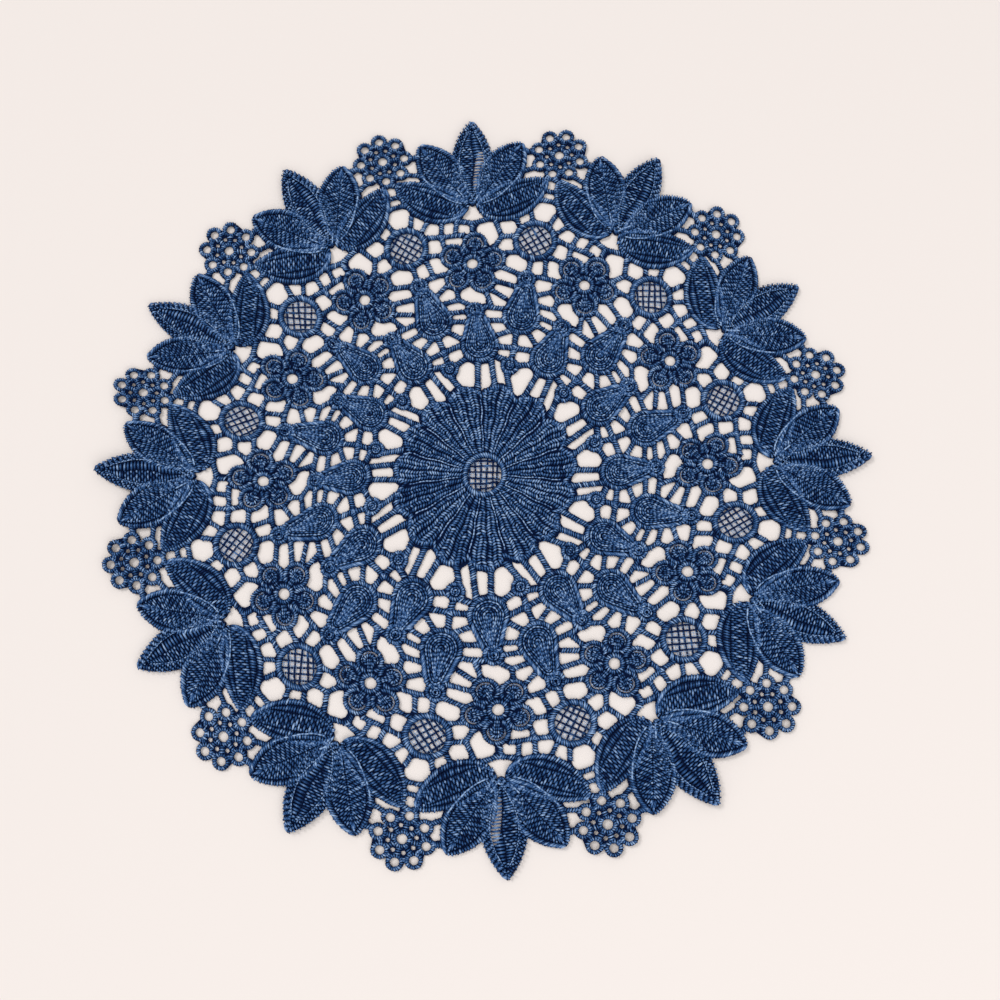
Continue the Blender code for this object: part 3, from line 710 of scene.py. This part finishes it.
def brick_bond(starts, ends, split):
    """Long stitches cut into short ones whose joints are staggered from row to row."""
    firsts, lasts = [], []
    for number, (start, end) in enumerate(zip(starts, ends)):
        count = max(1, round(float(np.hypot(*(end - start))) / split))
        joints = np.linspace(0.0, 1.0, count + 1)
        if number % 2 and count > 1:
            joints = np.concatenate([[0.0], joints[:-1] + 0.5 / count, [1.0]])
        firsts.append(start + (end - start) * joints[:-1, None])
        lasts.append(start + (end - start) * joints[1:, None])
    return np.concatenate(firsts), np.concatenate(lasts)


def running(line, length=1.6, overlap=0.25, low=1.2, high=1.6, width=0.26, tone=0.0):
    """Stitches end to end along a line."""
    total = line_length(line)
    borders = np.linspace(0.0, total, max(1, round(total / length)) + 1)
    lengths, steps = lengths_along(line), np.arange(len(line))
    start = along_line(line, np.interp(borders[:-1] - overlap, lengths, steps) / (len(line) - 1))
    end = along_line(line, np.interp(borders[1:] + overlap, lengths, steps) / (len(line) - 1))
    return stitch_rows(start, end, low, high, width, tone)


def arc(x, y, radius, first=0.0, last=360.0, steps=72):
    """Points of an arc, clockwise from outward."""
    return np.stack(on_ring(x, y, radius, np.linspace(first, last, steps + 1)), axis=1)


def straight(x0, y0, x1, y1, steps=8):
    """Points of a straight line."""
    share = np.linspace(0.0, 1.0, steps + 1)[:, None]
    return np.array([[x0, y0]]) + share * np.array([[x1 - x0, y1 - y0]])


def moved_aside(line, distance):
    """A line moved to its left, point by point."""
    step = np.gradient(line, axis=0)
    step /= np.maximum(np.hypot(*step.T), 1e-9)[:, None]
    return line + np.stack([-step[:, 1], step[:, 0]], axis=1) * distance


def turned_stitches(stitches, degrees):
    """Stitches turned clockwise about the mat's middle."""
    result = stitches.copy()
    for x, y in ((0, 1), (2, 3)):
        result[:, x], result[:, y] = turned(stitches[:, x], stitches[:, y], degrees)
    return result


def straight_bar(start, end, half, **looks):
    """Stitches across a straight line, to a half-width on each side of it."""
    line = straight(*start, *end)
    return satin(moved_aside(line, half), moved_aside(line, -half), **looks)


def bar_stitches():
    """The bars: slanted satin over a cord."""
    for index, bar in enumerate(BARS):
        stitches = straight_bar(
            (bar["x0"], bar["y0"]), (bar["x1"], bar["y1"]), bar["width"] / 2.0, pitch=0.94,
            slant=0.9 if index % 2 else -0.9, high=1.3, width=0.3, over=0.35, teeth=0.15)
        yield turned_stitches(stitches, bar["half"] * HALF_TURN)


def net_threads(x, y, radius, directions, pitch):
    """Uneven crossing threads over a round opening, with finer and lighter ones between, whose near-white
    tone is partly painted light on the shaded squares.
    """
    chance = np.random.default_rng(SEED)
    for layer, direction in enumerate(directions):
        for thread in NET_THREADS:
            step = pitch * thread["spacing"]
            offsets = np.arange(-radius + step * 0.55, radius - step * 0.2, step)
            offsets += chance.normal(0.0, step * NET_UNEVEN, len(offsets))
            reach = np.sqrt(np.maximum((radius + NET_LAP) ** 2 - offsets ** 2, 0.0))
            leans = direction + chance.normal(0.0, NET_LEAN, len(offsets))
            low = NET_HEIGHT - thread["drop"]
            for offset, half, lean in zip(offsets, reach, leans):
                middle = on_ring(x, y, offset, lean + 90.0)
                line = straight(*on_ring(*middle, -half, lean), *on_ring(*middle, half, lean))
                yield running(line, length=pitch * 1.3, overlap=0.5, low=low, width=thread["width"],
                              high=low + NET_LAYER * layer, tone=thread["tone"])


def disc_stitches():
    """The netted discs: a round cord with a net across it."""
    net = DISCS[0]
    x, y = net["x"], net["y"]
    cord = satin(arc(x, y, net["radius"]), arc(x, y, NET_RADIUS), pitch=0.92, slant=1.3, high=1.9,
                 over=0.2, teeth=0.15)
    for part in (cord, *net_threads(x, y, NET_RADIUS, NET_DIRECTIONS, NET_PITCH)):
        yield turned_stitches(part, net["half"] * HALF_TURN)


def cluster_stitches():
    """The ring cluster: small corded rings round a ring, tied to it by short bars."""
    cluster = WREATHS[1]
    x, y = cluster["x"], cluster["y"]
    cord = {"pitch": 0.85, "slant": 0.5, "width": 0.29}
    parts = [satin(arc(x, y, cluster["heart"]), arc(x, y, HEART_HOLE), over=0.2, **cord)]
    for cx, cy, turn in wreath_places(cluster):
        parts.append(satin(arc(cx, cy, cluster["radius"]), arc(cx, cy, RING_HOLE), over=0.22, **cord))
        near = on_ring(x, y, cluster["heart"] - HEART_LAP, turn)
        far = on_ring(x, y, cluster["reach"] - cluster["radius"] + RING_LAP, turn)
        parts.append(straight_bar(near, far, TIE_HALF, slant=0.3, high=1.3, width=0.29))
        between = turn + 180.0 / cluster["count"]
        outer, inner = (on_ring(x, y, cluster["reach"] - end, between) for end in BRIDGE_ENDS)
        parts.append(straight_bar(outer, inner, BRIDGE_HALF, high=1.2, width=0.29))
    yield turned_stitches(np.concatenate(parts), cluster["half"] * HALF_TURN)


def flower_stitches():
    """The flower: corded round petals with a loop and a core each, round a collared hole."""
    flower = WREATHS[0]
    x, y = flower["x"], flower["y"]
    yield satin(arc(x, y, FLOWER_COLLAR), arc(x, y, FLOWER_HOLE), pitch=0.85, slant=0.6, high=1.8,
                width=0.3, over=0.2)
    for cx, cy, turn in wreath_places(flower):
        outer, inner, large, small, row = (
            arc(cx, cy, radius, turn - sweep, turn + sweep) for radius, sweep in (
                (flower["radius"], LOOP_SWEEP), (FLOWER_LOOP, LOOP_SWEEP),
                (INNER_LOOP[0], INNER_SWEEP), (INNER_LOOP[1], INNER_SWEEP), (ROW_RADIUS, ROW_SWEEP)))
        yield satin(outer, inner, pitch=0.9, slant=1.0, high=1.8, width=0.29, over=0.2, teeth=0.2)
        yield running(row, length=1.2, overlap=0.05, low=0.7, high=1.1, width=0.16, tone=0.4)
        yield satin(large, small, pitch=0.9, slant=-0.8, low=0.6, high=1.6, width=0.28, over=0.1,
                    tone=0.1)
        line = straight(*on_ring(cx, cy, CORE_ROOT, turn), *on_ring(cx, cy, CORE_TIP, turn))
        for aside in CORE_ROWS:
            yield running(moved_aside(line, aside), length=1.2 + 0.3 * abs(aside), overlap=0.1, low=0.7,
                          high=1.3, width=0.27, tone=-0.1)


def drop_outline(drop, inset):
    """A drop's closed outline, taken in by an inset."""
    span = np.array([drop["neck_x"] - drop["base_x"], drop["neck_y"] - drop["base_y"]])
    length = float(np.hypot(*span))
    heading = math.degrees(math.atan2(span[0], span[1]))
    lean = math.degrees(math.acos((drop["base_radius"] - drop["neck_radius"]) / length))
    base = drop["base_radius"] - inset
    neck = max(drop["neck_radius"] - inset, DROP_LEAST)
    first, last = heading - lean, heading + lean
    over_neck = arc(drop["neck_x"], drop["neck_y"], neck, first, last, steps=24)
    round_base = arc(drop["base_x"], drop["base_y"], base, last, first + 360.0, steps=48)
    sides = [over_neck, straight(*over_neck[-1], *round_base[0])[1:-1], round_base,
             straight(*round_base[-1], *over_neck[0])[1:]]
    return np.concatenate(sides)


def drop_stitches():
    """The drops: a corded outline round nested rows of lengthwise stitches."""
    for drop in DROPS:
        parts = [satin(drop_outline(drop, 0.0), drop_outline(drop, DROP_CORD), pitch=0.92, slant=1.2,
                       high=1.8, width=0.31, teeth=0.15)]
        for number, inset in enumerate(DROP_ROWS):
            odd = number % 2
            parts.append(running(
                drop_outline(drop, inset), length=1.5 + 0.25 * odd, overlap=0.15, low=0.9,
                high=1.7 + 0.1 * number, width=0.3, tone=0.25 - 0.45 * odd))
        span = straight(drop["base_x"], drop["base_y"], drop["neck_x"], drop["neck_y"])
        for aside in DROP_MIDDLE_ROWS:
            parts.append(running(moved_aside(span, aside), length=1.4, low=1.4, high=2.3, width=0.3))
        yield turned_stitches(np.concatenate(parts), drop["half"] * HALF_TURN)


def ball_stitches():
    """The small balls under the drops' tips, and the buttons."""
    for disc in DISCS[1:]:
        x, y, radius = disc["x"], disc["y"], disc["radius"]
        parts = [satin(arc(x, y, radius), arc(x, y, radius - BALL_CORD), pitch=0.9, slant=0.7, high=1.7)]
        for inset in BALL_ROWS:
            parts.append(running(arc(x, y, radius - inset), length=1.2, low=1.2, high=1.9, width=0.26))
        yield turned_stitches(np.concatenate(parts), disc["half"] * HALF_TURN)


def lotus_petals():
    """The lotus's petals by name."""
    return {petal["name"]: petal for petal in PETALS}


def inset_line(petal, side, shares, inset):
    """A line along one side of a petal, some way in from its outline."""
    along = np.linspace(*shares, PETAL_STEPS)
    return petal_place(petal, along, side * np.maximum(half_width(petal, along, side) - inset, 0.0))


def petal_border(petal, side, cord=PETAL_CORD, **looks):
    """The cord along one side of a petal."""
    outer = inset_line(petal, side, CORD_SHARES, 0.0)
    inner = inset_line(petal, side, CORD_SHARES, cord)
    return satin(outer, inner, over=CORD_OVER, teeth=CORD_TEETH, **looks)


def petal_strip(petal, strip, side, pitch, width):
    """A strip of stitches across a petal, inside its cord, or its mirror image."""
    along = np.linspace(*FILL_SHARES, PETAL_STEPS)
    inset = PETAL_CORD + CORD_GROOVE
    low = -np.maximum(half_width(petal, along, -1.0) - inset, 0.0)
    high = np.maximum(half_width(petal, along, 1.0) - inset, 0.0)
    start = petal_place(petal, along, np.clip(side * strip["start"], low, high))
    end = petal_place(petal, along, np.clip(side * strip["end"], low, high))
    return satin(start, end, pitch=pitch, slant=side * strip["slant"], low=0.8, high=1.6, width=width,
                 tone=strip["tone"], over=0.0, split=strip["length"])


def lower_petal_stitches():
    """The lotus's two lower petals: stitches across them inside a cord."""
    petals = lotus_petals()
    for name, side in (("lower_left", -1.0), ("lower_right", 1.0)):
        petal = petals[name]
        yield petal_border(petal, side, slant=side, high=1.8)
        yield petal_border(petal, -side, slant=-side, high=1.6)
        for strip in LOWER_STRIPS:
            yield petal_strip(petal, strip, side, pitch=0.98, width=0.34)


def side_petal_stitches():
    """The lotus's two side petals: slanted short stitches like a feather's barbs, in a cord."""
    petals = lotus_petals()
    for name, side in (("side_left", -1.0), ("side_right", 1.0)):
        petal = petals[name]
        for edge in (side, -side):
            yield petal_border(petal, edge, slant=1.1 * edge, high=2.1)
        for strip in SIDE_STRIPS:
            yield petal_strip(petal, strip, 1.0, pitch=0.92, width=0.31)


def centre_petal_stitches():
    """The lotus's middle petal, which lies on top: a wide cord, a raised line and a panel."""
    centre = lotus_petals()["centre"]
    for side in (1.0, -1.0):
        yield petal_border(centre, side, CENTRE_CORD, slant=1.6 * side, pitch=0.98, high=2.2, split=1.9,
                           tone=-0.05)
        line = inset_line(centre, side, LINE_SHARES, CENTRE_CORD + CORD_GROOVE / 2.0)
        # The raised line is lighter as a painted highlight on the raised thread
        yield running(line, length=1.1, overlap=0.05, low=1.7, high=2.2, width=0.2, tone=0.5)
    inset = CENTRE_CORD + CORD_GROOVE
    left = inset_line(centre, -1.0, PANEL_SHARES, inset)
    seam = inset_line(centre, 1.0, PANEL_SHARES, inset + LADDER_WIDTH)
    right = inset_line(centre, 1.0, PANEL_SHARES, inset)
    yield satin(left, seam, pitch=1.05, slant=0.5, split=2.6, low=0.9, high=1.7, width=0.3, over=0.0)
    yield satin(seam, right, pitch=1.3, slant=0.2, low=0.9, high=1.6, width=0.38, over=0.15, tone=-0.1)


def raised_stitches():
    """Raised lines of thread between the lotus's petals, lighter as a painted highlight."""
    for line in RAISED_LINES:
        yield running(np.array(line), length=1.5, low=2.0, high=2.3, width=0.3, tone=0.7)


def rosette_line(azimuth, first, last):
    """A slightly wavy line outward from the rosette's middle, between two radii."""
    radii = np.linspace(first, last, RIB_STEPS)
    waves = RIB_WAVE * np.sin(radii * WAVE_ALONG + np.radians(azimuth) * WAVE_ROUND)
    return np.stack(on_ring(0.0, 0.0, radii, azimuth + waves), axis=1)


def rosette_ribs():
    """The ribs of all wedges, and a raised line to each notch of the edge."""
    half_wedge = 180.0 / ROSETTE_SCALLOPS
    for index in range(2 * ROSETTE_SCALLOPS):
        turn = ROSETTE_TURN + index * half_wedge
        wedge_tone = RIB_TONES[(index + 1) // 2 % len(RIB_TONES)]
        first, last = (RIB_NOTCH, RIB_SEAM) if index % 2 else (RIB_SEAM, RIB_NOTCH)
        for rib in RIBS:
            borders = turn + half_wedge * np.linspace(first, 1.0 - last, rib["count"] + 1)
            lines = [rosette_line(border, rib["first"], rib["last"]) for border in borders]
            for column, (left, right) in enumerate(zip(lines, lines[1:])):
                slant, high, tone = -RIB_SLANT, rib["high"], wedge_tone
                if column == 1:
                    slant, high, tone = RIB_SLANT, RIB_SECOND_HIGH, wedge_tone + RIB_SECOND_TONE
                yield satin(left, right, pitch=1.05, slant=slant, low=0.6, high=high, width=0.34,
                            over=0.1, tone=tone)
        if index % 2:
            # The raised line to each notch is lighter as a painted highlight on the raised thread
            yield running(rosette_line(turn, EYE_CORD, RIDGE_END), length=1.3, overlap=0.1, low=1.5,
                          high=2.0, width=0.24, tone=0.7)


def rosette_stitches():
    """The rosette: ribbed wedges of short stitches, a corded netted eye, a wavy edge."""
    ribs = np.concatenate(list(rosette_ribs()))
    middle_x, middle_y = (ribs[:, 0] + ribs[:, 2]) / 2.0, (ribs[:, 1] + ribs[:, 3]) / 2.0
    edge = rosette_radius(np.degrees(np.arctan2(middle_x, middle_y)))
    turns = np.linspace(0.0, 360.0, EDGE_STITCHES, endpoint=False)
    start = np.stack(on_ring(0.0, 0.0, rosette_radius(turns) + EDGE_OUT, turns), axis=1)
    end = np.stack(on_ring(0.0, 0.0, rosette_radius(turns) - EDGE_IN, turns + EDGE_LEAN), axis=1)
    yield ribs[np.hypot(middle_x, middle_y) < edge - EDGE_RIBS]
    yield stitch_rows(start, end, low=0.4, high=1.9, width=0.33, tone=0.0)
    yield satin(arc(0.0, 0.0, EYE_CORD), arc(0.0, 0.0, EYE_RADIUS), pitch=0.9, slant=1.3, high=2.4,
                tone=0.3, over=0.1)
    yield from net_threads(EYE_NET_X, EYE_NET_Y, EYE_RADIUS, EYE_NET_DIRECTIONS, EYE_NET_PITCH)


def spindle_faces():
    """The faces of one stitch, between its two tips and its rings of corners."""
    faces = []
    last_ring = 1 + (len(STATIONS) - 1) * SIDES
    for side in range(SIDES):
        after = (side + 1) % SIDES
        faces.append((0, 1 + after, 1 + side))
        for base in range(1, last_ring, SIDES):
            faces.append((base + side, base + after, base + SIDES + after, base + SIDES + side))
        faces.append((last_ring + side, last_ring + after, last_ring + SIDES))
    return faces


def thread_piece(name, stitches, repeats, seed):
    """One mesh of many stitches, each a closed spindle of its own."""
    chance = np.random.default_rng(seed)
    stitches = np.tile(stitches, (repeats, 1))
    count = len(stitches)
    repeat = np.repeat(np.arange(repeats), count // repeats)[:, None]
    x0, y0, x1, y1, low, high, width, tone = stitches.T
    start = np.stack([x0, y0], axis=1) + chance.normal(0.0, JITTER, (count, 2))
    end = np.stack([x1, y1], axis=1) + chance.normal(0.0, JITTER, (count, 2))
    width = width * chance.uniform(1.0 - WIDTH_SPREAD, 1.0 + WIDTH_SPREAD, count)
    high = high + chance.normal(0.0, JITTER, count)
    tone = tone + chance.normal(0.0, TONE_SPREAD, count)
    reach = end - start
    aside = np.stack([-reach[:, 1], reach[:, 0]], axis=1) / np.hypot(*reach.T)[:, None]

    around = np.arange(SIDES) * 2.0 * np.pi / SIDES
    # Painted shading of each corner: painted shade at the tips and toward the ends, a painted highlight
    # at the middle
    plan, heights, painted_shading = [start[:, None, :]], [low[:, None]], [TIP_PAINTED_SHADE]
    for station in STATIONS:
        middle = start + reach * station["along"]
        girth = (width * station["girth"])[:, None]
        plan.append(middle[:, None, :] + aside[:, None, :] * (girth * np.cos(around))[:, :, None])
        level = low + (high - low) * station["arch"]
        heights.append(level[:, None] + girth * STITCH_THICKNESS * np.sin(around))
        painted_shading += [station["shade"]] * SIDES
    plan.append(end[:, None, :])
    heights.append(low[:, None])
    painted_shading.append(TIP_PAINTED_SHADE)
    plan, heights = np.concatenate(plan, axis=1), np.concatenate(heights, axis=1)
    x, y = laid(plan[:, :, 0], plan[:, :, 1], repeat)
    places = to_frame(x, y, np.maximum(heights, LOWEST))

    firsts = (np.arange(count) * places.shape[1])[:, None]
    polygons = []
    for face in spindle_faces():
        polygons += (firsts + np.array(face)).tolist()
    data = bpy.data.meshes.new(name)
    data.from_pydata(places.reshape(-1, 3).tolist(), [], polygons)
    # The attribute holds each stitch's tone with its painted shade and painted highlight added
    shade = data.attributes.new("tone", "FLOAT", "POINT")
    shade.data.foreach_set("value", (tone[:, None] + np.array(painted_shading)).ravel())
    data.shade_smooth()
    return scene_object(name, data)


def node(tree, kind, **values):
    """A shader node with its settings and input values."""
    made = tree.nodes.new(kind)
    for key, value in values.items():
        if key in made.inputs:
            made.inputs[key].default_value = value
        else:
            setattr(made, key, value)
    return made


def thread_material():
    """Navy embroidery thread: lighter and darker stitches, with painted shade at their ends and a painted
    highlight at their middles, a soft sheen and a fine twist.
    """
    material = bpy.data.materials.new("navy_thread")
    material.use_nodes = True
    tree = material.node_tree
    shader = tree.nodes["Principled BSDF"]
    shader.inputs["Roughness"].default_value = 0.45
    shader.inputs["Sheen Weight"].default_value = 0.05
    shader.inputs["Sheen Roughness"].default_value = 0.4
    shader.inputs["Sheen Tint"].default_value = THREAD_SHEEN
    shader.inputs["Specular IOR Level"].default_value = 0.2
    shader.inputs["Specular Tint"].default_value = THREAD_GLOSS
    tone = node(tree, "ShaderNodeAttribute", attribute_name="tone")
    mottle = node(tree, "ShaderNodeTexNoise", Scale=2400.0, Detail=3.0)
    add = node(tree, "ShaderNodeMath", operation="MULTIPLY_ADD")
    add.inputs[1].default_value = MOTTLE
    add.inputs[2].default_value = -MOTTLE / 2.0
    total = node(tree, "ShaderNodeMath", operation="ADD")
    ramp = node(tree, "ShaderNodeValToRGB")
    place = node(tree, "ShaderNodeMapRange")
    place.inputs["From Min"].default_value = -TONE_RANGE
    place.inputs["From Max"].default_value = TONE_RANGE
    tree.links.new(mottle.outputs["Fac"], add.inputs[0])
    tree.links.new(add.outputs[0], total.inputs[0])
    tree.links.new(tone.outputs["Fac"], total.inputs[1])
    tree.links.new(total.outputs[0], place.inputs["Value"])
    tree.links.new(place.outputs["Result"], ramp.inputs["Fac"])
    ramp.color_ramp.elements[0].color = THREAD_DARK
    ramp.color_ramp.elements[1].color = THREAD_LIGHT
    middle = ramp.color_ramp.elements.new(0.5)
    middle.color = THREAD_MIDDLE
    tree.links.new(ramp.outputs["Color"], shader.inputs["Base Color"])
    twist = node(tree, "ShaderNodeTexNoise", Scale=3500.0, Detail=1.0)
    bump = node(tree, "ShaderNodeBump", Strength=0.3, Distance=0.0001)
    tree.links.new(twist.outputs["Fac"], bump.inputs["Height"])
    tree.links.new(bump.outputs["Normal"], shader.inputs["Normal"])
    return material


def painted_shade_ground_material():
    """The ground seen between the stitches: the lace's navy underlay, coloured near-black as painted
    shade in the gaps.
    """
    material = bpy.data.materials.new("navy_ground_painted_shade")
    material.use_nodes = True
    tree = material.node_tree
    shader = tree.nodes["Principled BSDF"]
    shader.inputs["Roughness"].default_value = 0.9
    shader.inputs["Specular IOR Level"].default_value = 0.1
    noise = node(tree, "ShaderNodeTexNoise", Scale=1200.0, Detail=3.0)
    ramp = node(tree, "ShaderNodeValToRGB")
    ramp.color_ramp.elements[0].position = 0.35
    ramp.color_ramp.elements[0].color = GROUND_PAINTED_SHADE_DARK
    ramp.color_ramp.elements[1].position = 0.75
    ramp.color_ramp.elements[1].color = GROUND_PAINTED_SHADE_LIGHT
    tree.links.new(noise.outputs["Fac"], ramp.inputs["Fac"])
    tree.links.new(ramp.outputs["Color"], shader.inputs["Base Color"])
    bump = node(tree, "ShaderNodeBump", Strength=0.5, Distance=0.0002)
    tree.links.new(noise.outputs["Fac"], bump.inputs["Height"])
    tree.links.new(bump.outputs["Normal"], shader.inputs["Normal"])
    return material


def add_stage():
    """A pale floor, soft light from the upper left, a weak fill and the photograph's camera."""
    bpy.ops.mesh.primitive_plane_add(size=FLOOR_SIZE, location=(0.0, 0.0, 0.0))
    floor = bpy.context.object
    floor.name = "floor"
    material = bpy.data.materials.new("pale_floor")
    material.use_nodes = True
    shader = material.node_tree.nodes["Principled BSDF"]
    shader.inputs["Base Color"].default_value = FLOOR_COLOUR
    shader.inputs["Roughness"].default_value = 0.9
    floor.data.materials.append(material)

    world = bpy.data.worlds.new("studio")
    bpy.context.scene.world = world
    world.use_nodes = True
    background = world.node_tree.nodes["Background"]
    background.inputs["Color"].default_value = WORLD_COLOUR
    background.inputs["Strength"].default_value = WORLD_STRENGTH

    for row in LAMPS:
        light = bpy.data.lights.new(row["name"], "AREA")
        light.energy = row["energy"]
        light.size = row["size"]
        lamp = scene_object(row["name"], light)
        lamp.location = (row["x"], row["y"], row["z"])
        lamp.rotation_euler = (-lamp.location).to_track_quat("-Z", "Y").to_euler()

    lens = bpy.data.cameras.new("camera")
    lens.sensor_width = CAMERA_SENSOR
    lens.lens = CAMERA_LENS
    camera = scene_object("camera", lens)
    camera.location = CAMERA_PLACE
    camera.rotation_euler = (math.radians(CAMERA_TILT), 0.0, 0.0)
    bpy.context.scene.camera = camera


def main():
    thread = thread_material()
    ground = ground_piece()
    ground.data.materials.append(painted_shade_ground_material())
    works = (rosette_stitches, bar_stitches, disc_stitches, cluster_stitches, flower_stitches,
             drop_stitches, ball_stitches, lower_petal_stitches, side_petal_stitches,
             centre_petal_stitches, raised_stitches)
    pieces = []
    for number, work in enumerate(works):
        repeats = 1 if work is rosette_stitches else REPEATS
        stitches = np.concatenate(list(work()))
        piece = thread_piece(work.__name__, stitches, repeats, SEED + number)
        piece.data.materials.append(thread)
        pieces.append(piece)
    for piece in [ground] + pieces:
        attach(piece, "root")
        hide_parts("lace_mat")
    add_stage()
    bpy.context.scene.view_settings.view_transform = "Standard"


main()
